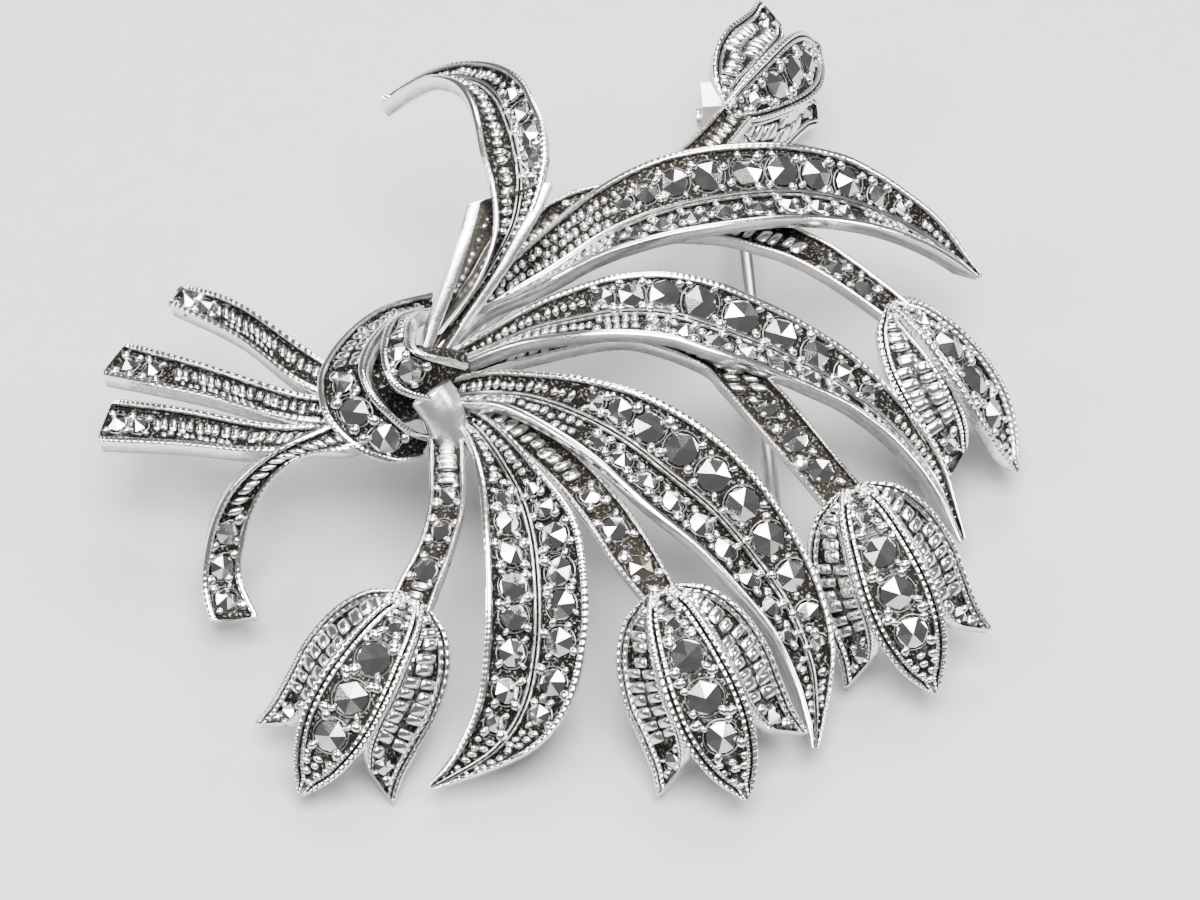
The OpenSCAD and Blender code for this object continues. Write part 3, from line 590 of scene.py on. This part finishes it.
for number, (name, edges, dip, rows, bare_rows, grained, under) in enumerate(leaves):
    dice = random.Random(100 + number)
    leaf, stones = Casting(), Casting("tint")
    strip(leaf, *edges, leaf_section, dip, leaf_skirt, grained=grained, shut=(0, 0.5), under=under)
    for side, t_start, t_end, reach, gap in rows:
        places = stone_row(*edges, side, t_start, t_end, reach, gap)
        set_row(leaf, stones, *edges, dip, side, places, dice)
        first, last = places[0][0] - 0.03, places[-1][0] + 0.05
        bead_row(leaf, *edges, dip, side, dice, 0.06, first, pitch=0.6, size=0.36)
        bead_row(leaf, *edges, dip, side, dice, last, 0.97, pitch=0.52, size=0.34)
    for side, t_start, t_end in bare_rows:
        bead_row(leaf, *edges, dip, side, dice, t_start, t_end, pitch=0.72, size=0.46)
    leaf.done("leaf_" + name, cast_silver, crease, ["leaf_" + name], "spray", "aged_silver")
    stones.done("stones_leaf_" + name, marcasite.material, facet_crease, ["stones_leaf_" + name],
                "spray", "dark_stone")


# ---- sheath ------------------------------------------------------------------------------
# A short split leaf that the curled one grows out of. Its two lobes have wide worn rims, and a
# row of small beads runs down inside each of them.

sheath = (
    points((-7.5, -1.4, 9.6), (-5.5, 1, 11.3), (-3.6, 3.1, 13.2), (-2.1, 5.3, 14.9), (-1, 7.7, 16)),
    points((-9.8, -3, 9.6), (-8.9, -0.6, 11.2), (-7.9, 1.6, 13), (-7.1, 3.8, 14.5), (-6.5, 6.1, 15.5)))
sheath_grey = (0.13, 0.125, 0.115, 1)
sheath_silver = silver("sheath_silver", SILVER, sheath_grey, smooth=0.26, satin=0.6, hammer=1.2)
sheath_dip, sheath_rim = 0.34, 0.95
dice = random.Random(110)
leaf = Casting()
strip(leaf, *sheath, leaf_section, sheath_dip, leaf_skirt, sheath_rim, shut=(0, 0.35), under=0.5)
for side in (-1, 1):
    bead_row(leaf, *sheath, sheath_dip, side, dice, 0.2, 0.97, pitch=0.55, size=0.34, square=0.7,
             shift=side * -0.1)
leaf.done("leaf_sheath", sheath_silver, crease, ["leaf_sheath"], "spray", "aged_silver")


# ---- flower stems ------------------------------------------------------------------------
# Narrow cast channels that run from the knot to each flower under the leaves. A few stones
# sit near the flower, and square cut beads fill the rest of the channel.

stem_back = (
    points((-8.4, -3, 8.8), (-5.6, 3.4, 8.9), (-1.4, 9, 9), (1.6, 11.6, 9), (6.4, 13.4, 8.9),
           (9.6, 16.6, 8.9), (12.2, 21, 8.5)),
    points((-9.8, -2.2, 8.8), (-7.4, 4.6, 8.9), (-3.2, 10.7, 9), (-0.2, 13.6, 9), (4.6, 15.3, 8.9),
           (7.6, 18.2, 8.9), (10.6, 22.8, 8.5)))
stem_right = (
    points((-8.2, -2.8, 9), (-4, 3, 9.4), (1, 6.6, 9.6), (5, 8.6, 9.8), (9.1, 8.2, 10.4), (12.2, 7.2, 10.4),
           (14.7, 6.2, 10.2), (17.3, 4.7, 9.6), (20.6, 2.6, 8.4)),
    points((-9.4, -1.8, 9), (-5.4, 4.4, 9.4), (0, 8.6, 9.6), (4.4, 10.9, 9.8), (10.3, 10.2, 10.5),
           (13.8, 9.4, 10.6), (16.6, 8.1, 10.2), (18.9, 6.5, 9.6), (22, 4.3, 8.4)))
stem_lower_right = (
    points((-7.6, -3.4, 9.2), (-2, -0.9, 8.9), (3.4, 0.2, 9.2), (7.9, -2.3, 10), (9.5, -4.4, 10.2),
           (11.2, -6.9, 10), (13, -9.2, 9.4), (15.7, -12.4, 8.2)),
    points((-7.6, -1.6, 9.2), (-1.6, 1.2, 8.9), (5, 2.2, 9.2), (10.9, -1.8, 10.2), (13.1, -4.4, 10.2),
           (15, -7.2, 9.9), (16.9, -9.8, 9.2), (18.6, -11.7, 8.3)))
stem_front = (
    points((-9, -5, 9), (-5.7, -6.5, 9.3), (-3.1, -9.3, 9.8), (-0.7, -12.4, 10), (1.2, -15.2, 9.7),
           (2.7, -17.5, 8.9), (4.6, -19.8, 8)),
    points((-7.8, -3.8, 9), (-4.3, -5.2, 9.5), (-1, -8.1, 10), (1.6, -11.2, 10.2), (3.7, -14.1, 9.9),
           (5.4, -16.8, 9.1), (6.9, -19.4, 8)))
stem_left = (
    points((-9.6, -4.8, 9), (-8.8, -7.7, 9.4), (-8.6, -10.7, 9.6), (-8.6, -13.2, 9.2), (-9.2, -15.7, 8.4),
           (-10.2, -17.6, 7.6), (-10.9, -19, 6.9)),
    points((-7.8, -4.6, 9), (-6.6, -7.7, 9.4), (-6.4, -10.7, 9.7), (-6.4, -13.4, 9.3), (-7, -16, 8.5),
           (-7.8, -18.3, 7.7), (-8.4, -19.8, 6.9)))
# The stems' dark colour is tarnish, and also painted shade in the seats round their stones.
worn_silver, stem_tarnish_and_shade = (0.86, 0.85, 0.83, 1), (0.014, 0.0125, 0.011, 1)
stem_silver = silver("stem_silver", worn_silver, stem_tarnish_and_shade, smooth=0.2, satin=0.6, hammer=0.7)

stem_skirt, stem_rim = 1, 0.3
stems = (
    ("back", stem_back, ((0.5, 1.4),)),
    ("right", stem_right, ((0.828, 1.4), (0.912, 1.4))),
    ("lower_right", stem_lower_right, ((0.66, 1.3), (0.79, 1.7), (0.9, 1.7))),
    ("front", stem_front, ((0.57, 1.4), (0.71, 1.6), (0.87, 1.6))),
    ("left", stem_left, ((0.45, 1.2), (0.597, 1.4), (0.772, 1.6))),
)
for number, (name, edges, places) in enumerate(stems):
    dice = random.Random(200 + number)
    stem, stones = Casting(), Casting("tint")
    strip(stem, *edges, channel_section, 0, stem_skirt, stem_rim, grained=(0.02, 0.02))
    set_row(stem, stones, *edges, 0, 0, places, dice, brassy=0.35)
    first, last = places[0][0] - 0.08, places[-1][0] + 0.08
    bead_row(stem, *edges, 0, 0, dice, 0.1, first, pitch=0.85, size=0.6, square=0.55)
    bead_row(stem, *edges, 0, 0, dice, last, 0.97, pitch=0.7, size=0.5, square=0.6)
    stem.done("stem_" + name, stem_silver, crease, ["stem_" + name], "spray", "aged_silver")
    stones.done("stones_stem_" + name, marcasite.material, facet_crease, ["stones_stem_" + name],
                "spray", "dark_stone")


# ---- tulips ------------------------------------------------------------------------------
# One casting used five times: a pointed middle petal with a small and three large stones
# between milled ribs, and a petal folded down at each side with rows of square beads and one small stone.

petal_right = points((-0.7, -0.8, -0.2), (0.9, -1.5, 0.9), (3.4, -2, 1.6), (6.2, -2.3, 1.8), (8.8, -2.2, 1.5),
                     (11.2, -1.5, 0.8), (13, -0.3, 0.1))
petal_side = points((-0.7, 0.8, -0.2), (0.1, 2.8, -0.5), (2.2, 4.2, -0.8), (4.8, 4.8, -1), (7.2, 4.8, -1.2),
                    (9.2, 4.8, -1.4), (10.8, 5.1, -1.5))
petal_inner = points((-0.6, 0.3, 0), (1.2, 1.3, 0.7), (3.4, 1.8, 1.3), (5.6, 2.1, 1.4), (7.4, 2.1, 1),
                     (8.6, 2.3, 0.6), (9.6, 2.8, 0.1))
petal_skirt, petal_rim, milled = 0.9, 0.36, (0.05, 0.05)
petal_stones = ((0.2, 1.05), (0.355, 2.1), (0.52, 2.15), (0.69, 2))
between_stones = (0.27, 0.437, 0.605)
side_stone = ((0.86, 1.15),)


def mirrored(line):
    return [Vector((p.x, -p.y, p.z)) for p in line]


def ribbed_section(width, dip, skirt, rim, open_, right_grain, left_grain, under):
    """A channel with a second, lower rib inside each rim, as (across, height, tarnish)."""
    k = fade(width)
    r, low = rim * k, rim_lip * k * open_
    inner = min(0.42 * k, max(width / 2 - r - 0.1, 0.02))
    half = [(0.08 * k, -skirt * k, under), (0, -(skirt - 0.1) * k, 0.45), (0, -0.62 * k, 0.22),
            (0, -0.16 * k, 0.0), (0.05 * k, -0.05 * k, 0), (0.16 * k, 0, 0),
            (r - 0.14 * k, 0, 0), (r - 0.03 * k, -0.05 * k, 0.1), (r, -0.2 * k * open_, 0.7),
            (r + inner * 0.2, -low * 0.62, 1), (r + inner * 0.42, -low * 0.3, 0.1),
            (r + inner * 0.7, -low * 0.3, 0.0), (r + inner * 0.92, -low * 0.5, 0.4),
            (r + inner, -low * 0.96, 1), (width * 0.4, -low, 0.75)]
    beaded = (4, 5, 6, 7, 10, 11, 12)            # the points on top of the rim and of the rib
    right = [(x, z + right_grain * (i in beaded), shade) for i, (x, z, shade) in enumerate(half)]
    left = [(width - x, z + left_grain * (i in beaded), shade) for i, (x, z, shade) in enumerate(half)]
    return right + left[::-1]


flowers = (
    ("back", (11.2, 21.9, 8.4), (16.9, 31.6, 4.6), -50),
    ("right", (21.4, 3.8, 8.4), (29, -4.4, 1.4), 24),
    ("lower_right", (17.7, -12, 8.4), (22.4, -21.9, 1.7), -14),
    ("front", (5.8, -19.6, 7.9), (10.9, -30.1, 1.4), -17),
    ("left", (-9.7, -19.4, 6.9), (-15.2, -27.6, 1.6), 12),
)
for number, (name, base, tip, turn) in enumerate(flowers):
    dice = random.Random(300 + number)
    base, tip, roll = Vector(base), Vector(tip), math.radians(turn)
    along = (tip - base).normalized()
    level = Vector((0, 0, 1)).cross(along).normalized()
    upright = along.cross(level)
    across = level * math.cos(roll) - upright * math.sin(roll)
    up = upright * math.cos(roll) + level * math.sin(roll)
    flower, stones = Casting(), Casting("tint")
    petal = petal_right, mirrored(petal_right)
    strip(flower, *petal, ribbed_section, 0, petal_skirt, petal_rim, milled, (0.4, 0.6), step=0.07)
    set_row(flower, stones, *petal, 0, 0, petal_stones, dice)
    bead_row(flower, *petal, 0, 0, dice, 0.02, 0.14, pitch=0.5, size=0.3)
    bead_row(flower, *petal, 0, 0, dice, 0.8, 0.95, pitch=0.55, size=0.32)
    for t in between_stones:
        origin, sideways, ahead, up_here, width = floor_frame(*petal, 0, 0, t)
        for lean in (-1, 1):
            aside = lean * (width / 2 - 1.15)
            spot = origin + sideways * aside + ahead * dice.uniform(-0.1, 0.1)
            dome(flower, spot, sideways, ahead, up_here, (0.42, 0.34), 0.34, 0.8)
    for edges in ((petal_inner, petal_side), (mirrored(petal_side), mirrored(petal_inner))):
        strip(flower, *edges, ribbed_section, 0, petal_skirt, petal_rim, milled, (0.4, 0.35), step=0.07)
        set_row(flower, stones, *edges, 0, 0, side_stone, dice)
        bead_row(flower, *edges, 0, 0, dice, 0.1, 0.76, pitch=0.82, size=0.62, square=0.45)
    for casting in (flower, stones):
        casting.corners = [base + along * p.x + across * p.y + up * p.z for p in casting.corners]
    flower.done("tulip_" + name, cast_silver, crease, ["tulip_" + name], "spray", "aged_silver")
    stones.done("stones_tulip_" + name, marcasite.material, facet_crease, ["stones_tulip_" + name],
                "spray", "dark_stone")


# ---- cut stems ---------------------------------------------------------------------------
# Three stem ends that flare as they leave the knot. Each is a deep channel with small beads
# along the floor and two stones near its closed, rounded tip.

cut_upper = (
    points((-13, -2.6, 8.6), (-16.2, -0.9, 9.4), (-21.4, 4, 8.8), (-24.9, 6.2, 8.1)),
    points((-13.2, -4.8, 8.6), (-17, -3.6, 9.4), (-21.4, 0.9, 8.8), (-26, 4.4, 8.1)))
cut_middle = (
    points((-12, -3.4, 8.4), (-16.6, -4, 9), (-23.6, -0.8, 8.4), (-28.4, 1.6, 7.6)),
    points((-12, -5.8, 8.4), (-17, -6.3, 9), (-23.5, -3.7, 8.4), (-29.9, -1.3, 7.6)))
cut_lower = (
    points((-12.4, -5, 8.2), (-17.6, -6.2, 8.6), (-24.6, -4.1, 7.8), (-29, -2.6, 6.9)),
    points((-12.6, -7.2, 8.2), (-18.6, -8.5, 8.6), (-24.5, -7.3, 7.8), (-29.8, -6.2, 6.9)))
cut_skirt = 1.2
cut_stones = ((0.83, 1.25), (0.93, 1.35))
cuts = (("upper", cut_upper), ("middle", cut_middle), ("lower", cut_lower))
for number, (name, edges) in enumerate(cuts):
    dice = random.Random(400 + number)
    cut, stones = Casting(), Casting("tint")
    strip(cut, *edges, channel_section, 0, cut_skirt, grained=(0.05, 0.03), shut=(0, 0.5))
    set_row(cut, stones, *edges, 0, 0, cut_stones, dice)
    bead_row(cut, *edges, 0, 0, dice, 0.15, 0.76, pitch=0.6, size=0.5, square=0.6, shift=-0.2)
    bead_row(cut, *edges, 0, 0, dice, 0.5, 0.74, pitch=0.5, size=0.22, square=0.8, shift=0.55)
    cut.done("cut_stem_" + name, cast_silver, crease, ["cut_stem_" + name], "spray", "aged_silver")
    stones.done("stones_cut_" + name, marcasite.material, facet_crease, ["stones_cut_" + name],
                "spray", "dark_stone")


# ---- ribbon ------------------------------------------------------------------------------
# Two bands go over the knot, cross in a plain rounded fold and leave one hanging tail. The
# bands and the tail are channels with graduated stones; the fold is bare.

tail = (
    points((-13.6, -7, 10.4), (-15.3, -8.1, 10.6), (-18.1, -9.4, 9.9), (-20.5, -10.8, 8.4), (-21.9, -12, 6.6),
           (-22.6, -13.4, 4.8), (-22.8, -15.2, 3.2), (-22.3, -16.9, 2.2)),
    points((-12.2, -9, 10), (-13.8, -9.9, 10.4), (-16.2, -10, 9.8), (-18.1, -10.5, 8.3), (-19.4, -11.5, 6.5),
           (-20.1, -12.8, 4.8), (-20.3, -14.4, 3.3), (-19.2, -16.6, 2.2)))
band_lower = (
    points((-9, 5.4, 8.2), (-12.2, 2.4, 10), (-14.6, -1.2, 10.9), (-15.7, -4.6, 11.2), (-15.2, -7.7, 11),
           (-13.4, -9.6, 10.2), (-11, -9.9, 9), (-9, -8.6, 7.8)),
    points((-8.2, 3.6, 8.4), (-10.9, 0.6, 11), (-12.2, -2.6, 12.6), (-12.7, -5.4, 13), (-12, -7.2, 12.6),
           (-10.9, -7.9, 11.6), (-9.6, -8, 10), (-8.3, -7.2, 8.4)))
band_upper = (
    points((-9.6, 3.6, 8.8), (-11.2, -0.5, 12.2), (-11.7, -3.8, 13.4), (-11.4, -6.3, 13.7),
           (-10.4, -7.5, 13), (-8.8, -7.2, 11.8), (-7.3, -5.9, 10.6)),
    points((-8.6, 2.9, 9), (-9.6, -0.8, 12.8), (-9.8, -3.6, 14), (-9.4, -5, 14.4), (-8.4, -5.3, 14),
           (-7.2, -4.8, 12.9), (-6.2, -4, 11.6)))
fold = (
    points((-9.4, -7.4, 12), (-8.4, -8.3, 10.8), (-7.6, -9.1, 9.2), (-6.8, -9.6, 8)),
    points((-7.2, -5.4, 12.2), (-6.4, -6.3, 11.2), (-5.9, -7.3, 9.8), (-5.6, -8.2, 8.4)))
ribbon_skirt = 1.1
tail_stones = ((0.668, 1.5), (0.796, 1.55), (0.91, 1.5))
lower_stones = ((0.47, 1.5), (0.607, 1.9), (0.786, 2))
upper_stones = ((0.41, 1.5), (0.63, 1.6))
# name, name of its stones, edges, stones as (place, width), end of the beads, shut ends
ribbons = (
    ("ribbon_tail", "stones_tail", tail, tail_stones, 0.58, (0, 0.4)),
    ("ribbon_band_lower", "stones_band_lower", band_lower, lower_stones, 0.4, (0, 0)),
    ("ribbon_band_upper", "stones_band_upper", band_upper, upper_stones, 0.32, (0, 0)),
)
for number, (name, stone_name, edges, places, bead_end, shut) in enumerate(ribbons):
    dice = random.Random(500 + number)
    band, stones = Casting(), Casting("tint")
    strip(band, *edges, channel_section, 0, ribbon_skirt, grained=(0.02, 0.02), shut=shut)
    set_row(band, stones, *edges, 0, 0, places, dice)
    bead_row(band, *edges, 0, 0, dice, 0.06, bead_end, pitch=0.72, size=0.5, square=0.6)
    band.done(name, cast_silver, crease, [name], "spray", "aged_silver")
    stones.done(stone_name, marcasite.material, facet_crease, [stone_name], "spray", "dark_stone")


def roll_section(width, dip, skirt, rim, open_, right_grain, left_grain, under):
    """A plain rounded back with straight sides, lower toward both ends of the strip."""
    half = [(0.08, -skirt, under), (0, -skirt + 0.1, 0.5), (0, -0.85, 0.3)]
    round_off, end_drop = 0.75, 0.2
    for share in (0.04, 0.1, 0.17, 0.25, 0.33, 0.41, 0.48):
        height = -round_off * (1 - share * 2) ** 2 - end_drop * (1 - open_)
        half.append((width * share, height, 0.12 - share * 0.25))
    return half + [(width - x, z, shade) for x, z, shade in half[::-1]]


fold_grey = (0.1, 0.095, 0.09, 1)
polished_silver = silver("polished_silver", SILVER, fold_grey, smooth=0.3, satin=0.5, hammer=1.0)
band = Casting()
strip(band, *fold, roll_section, 0, ribbon_skirt, shut=(0.4, 0.4), under=0.4)
band.done("ribbon_fold", polished_silver, crease, ["ribbon_fold"], "spray", "bright_silver")


# ---- pin, hinge and catch ----------------------------------------------------------------
# The hinge's ears, the catch and its roll-over lever are stamped and filed, so their edges are
# broken by hand. The pin is drawn wire, and its draw lines run along it.

drawn = Finish("drawn_wire")
wire_mm = drawn.millimetres()
draw_lines = (14.0, 0.5, 14.0)
pulled = drawn.node("ShaderNodeVectorMath", {"operation": "MULTIPLY"}, {0: wire_mm, 1: draw_lines})
lines = drawn.noise(pulled, 1.0, 3.0)
dull = drawn.noise(wire_mm, 0.8, 3.0)
wire_colour = drawn.mix((dull * 1.6 - 0.5).clamped(), (0.58, 0.57, 0.55, 1), (0.36, 0.35, 0.33, 1))
drawn.feed(Metallic=1.0, Base_Color=wire_colour, Roughness=0.2 + lines * 0.25,
           Normal=drawn.bump(lines, 0.01 * MM, 0.5))

back_silver = (0.74, 0.73, 0.7, 1)
filed_silver = silver("filed_silver", back_silver, TARNISH_AND_SHADE, smooth=0.28, satin=0.5, hammer=0.6)


flat_within, edge_over, filed_crease = math.radians(1), math.radians(50), math.radians(40)


def broken_edges(node, material, body, width):
    """A copy of a CAD part with its sharp edges rounded over."""
    piece = frame["nodes"][node].copy()
    piece.data = piece.data.copy()
    piece.name = node + "_filed"
    bpy.context.collection.objects.link(piece)
    shape = bmesh.new()
    shape.from_mesh(piece.data)
    bmesh.ops.remove_doubles(shape, verts=shape.verts, dist=0.001 * MM)
    bmesh.ops.dissolve_limit(shape, angle_limit=flat_within, verts=shape.verts, edges=shape.edges)
    shape.to_mesh(piece.data)
    shape.free()
    piece.data.materials.clear()
    piece.data.materials.append(material)
    bevel = piece.modifiers.new("filed", "BEVEL")
    bevel.width = width * MM
    bevel.segments = 2
    bevel.limit_method = "ANGLE"
    bevel.angle_limit = edge_over
    bevel.harden_normals = True
    piece.data.shade_smooth()
    piece.data.set_sharp_from_angle(angle=filed_crease)
    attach(piece, body)
    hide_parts(node)


broken_edges("hinge_bracket", filed_silver, "spray", 0.12)
broken_edges("hinge_rivet", filed_silver, "spray", 0.08)
broken_edges("catch_body", filed_silver, "spray", 0.1)
broken_edges("safety_lever", filed_silver, "safety", 0.08)
broken_edges("pin_stem", drawn.material, "pin", 0.05)


# ---- floor, lights and camera ------------------------------------------------------------
# A pale plain floor under the brooch, four soft panels and the view from in front and above.

low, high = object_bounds()
centre = (low + high) / 2
span = (high - low).length

paper = Finish("paper")
fibres = paper.noise(paper.millimetres(), 0.6, 4.0)
paper_colour = paper.mix(fibres, (0.48, 0.48, 0.475, 1), (0.53, 0.53, 0.525, 1))
paper.feed(Base_Color=paper_colour, Roughness=0.55 + fibres * 0.1)
floor_mesh = bpy.data.meshes.new("floor")
reach = span * 12
corner_signs = ((-1, -1), (1, -1), (1, 1), (-1, 1))
floor_mesh.from_pydata([(x * reach, y * reach, low.z) for x, y in corner_signs], [], [(0, 1, 2, 3)])
floor_mesh.materials.append(paper.material)
floor = bpy.data.objects.new("floor", floor_mesh)
bpy.context.collection.objects.link(floor)

world = bpy.data.worlds.new("studio")
world.use_nodes = True
world.node_tree.nodes["Background"].inputs["Color"].default_value = (0.97, 0.98, 1.0, 1)
world.node_tree.nodes["Background"].inputs["Strength"].default_value = 0.19
bpy.context.scene.world = world


def panel(name, azimuth, elevation, distance, size, power):
    """A square softbox aimed at the brooch. Azimuth 0 is in front of it."""
    a, e = math.radians(azimuth), math.radians(elevation)
    back = Vector((math.sin(a) * math.cos(e), -math.cos(a) * math.cos(e), math.sin(e)))
    light = bpy.data.lights.new(name, "AREA")
    light.size = size * span
    light.energy = power
    lamp = bpy.data.objects.new(name, light)
    lamp.location = centre + back * distance * span
    lamp.rotation_mode = "QUATERNION"
    lamp.rotation_quaternion = back.to_track_quat("Z", "Y")
    bpy.context.collection.objects.link(lamp)


panel("overhead", 10, 76, 5, 3.4, 7.2)
panel("behind", 172, 50, 6, 2.8, 3.2)
panel("left", -75, 42, 6, 1.8, 2.0)
panel("right", 95, 35, 6, 1.2, 1.2)

camera = bpy.data.cameras.new("camera")
camera.lens = 105.6
camera.clip_start = 0.01
eye = bpy.data.objects.new("camera", camera)
aim = centre + Vector((2.2, -9.7, -0.7)) * MM
tilt, stand_off = math.radians(50), 220 * MM
eye.location = aim + Vector((0, -math.cos(tilt), math.sin(tilt))) * stand_off
eye.rotation_mode = "QUATERNION"
eye.rotation_quaternion = (eye.location - aim).to_track_quat("Z", "Y")
bpy.context.collection.objects.link(eye)
bpy.context.scene.camera = eye
